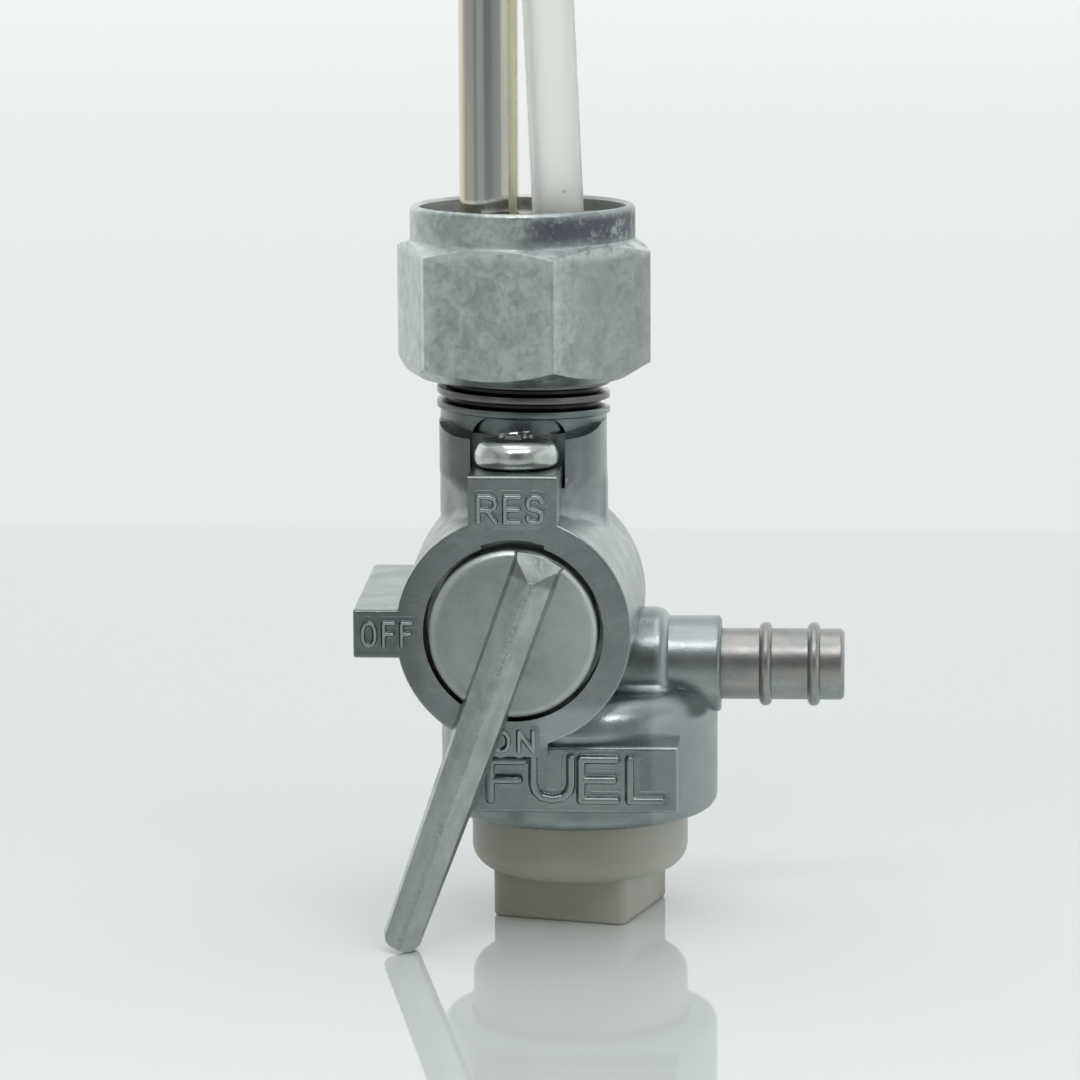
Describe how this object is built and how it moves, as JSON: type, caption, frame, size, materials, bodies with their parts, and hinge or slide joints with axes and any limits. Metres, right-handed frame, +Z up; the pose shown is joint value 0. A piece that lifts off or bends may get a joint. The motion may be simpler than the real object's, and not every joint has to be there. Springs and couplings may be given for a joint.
{
  "type": "fuel tap",
  "caption": "Small-engine fuel tap: hexagonal union nut over standpipes, turning lever with on, off and reserve positions, ridged hose spigot and screw-in sediment cup.",
  "frame": {"origin": "on the standing plane under the foot of the sediment cup, on the axis of the neck and the union nut", "axes": "+Z up along the neck, +X the way the hose spigot points, -Y the way the lever faces"},
  "size_m": [0.0504, 0.0367, 0.108],
  "materials": {
    "cast_body": "satin as-cast zinc",
    "cast_nut": "tumbled zinc",
    "gasket": "matte",
    "plated_pipe": "yellow zinc plating",
    "stub": "plain",
    "nylon": "milky",
    "cast_lever": "tumbled zinc",
    "seal": "matte",
    "spring": "plain",
    "rotor": "moulded",
    "plated_screw": "bright zinc plating",
    "cup": "moulded",
    "strainer": "moulded",
    "gauze": "fine"
  },
  "bodies": {
    "tap": {"body": "cast_body", "tank_gasket": "gasket", "main_standpipe": "plated_pipe", "reserve_stub": "stub", "reserve_tube": "nylon", "valve_packing": "seal", "lever_screw": "plated_screw", "strainer_frame": "strainer", "strainer_gauze": "gauze"},
    "nut": {"union_nut": "cast_nut"},
    "handle": {"lever": "cast_lever", "lever_o_ring": "seal", "lever_spring": "spring", "valve_rotor": "rotor"},
    "cup": {"sediment_cup": "cup", "cup_o_ring": "seal"}
  },
  "joints": [
    {"name": "lever_turn", "type": "hinge", "parent": "tap", "child": "handle", "pos_m": [0, -0.011, 0.03265], "axis": [0, 1, 0], "range_deg": [-20, 160]},
    {"name": "union_nut_turn", "type": "hinge", "parent": "tap", "child": "nut", "pos_m": [0, 0, 0.064], "axis": [0, 0, 1], "continuous": true},
    {"name": "cup_draw", "type": "slide", "parent": "tap", "child": "cup", "axis": [0, 0, -1], "range_m": [0, 0.02]}
  ]
}
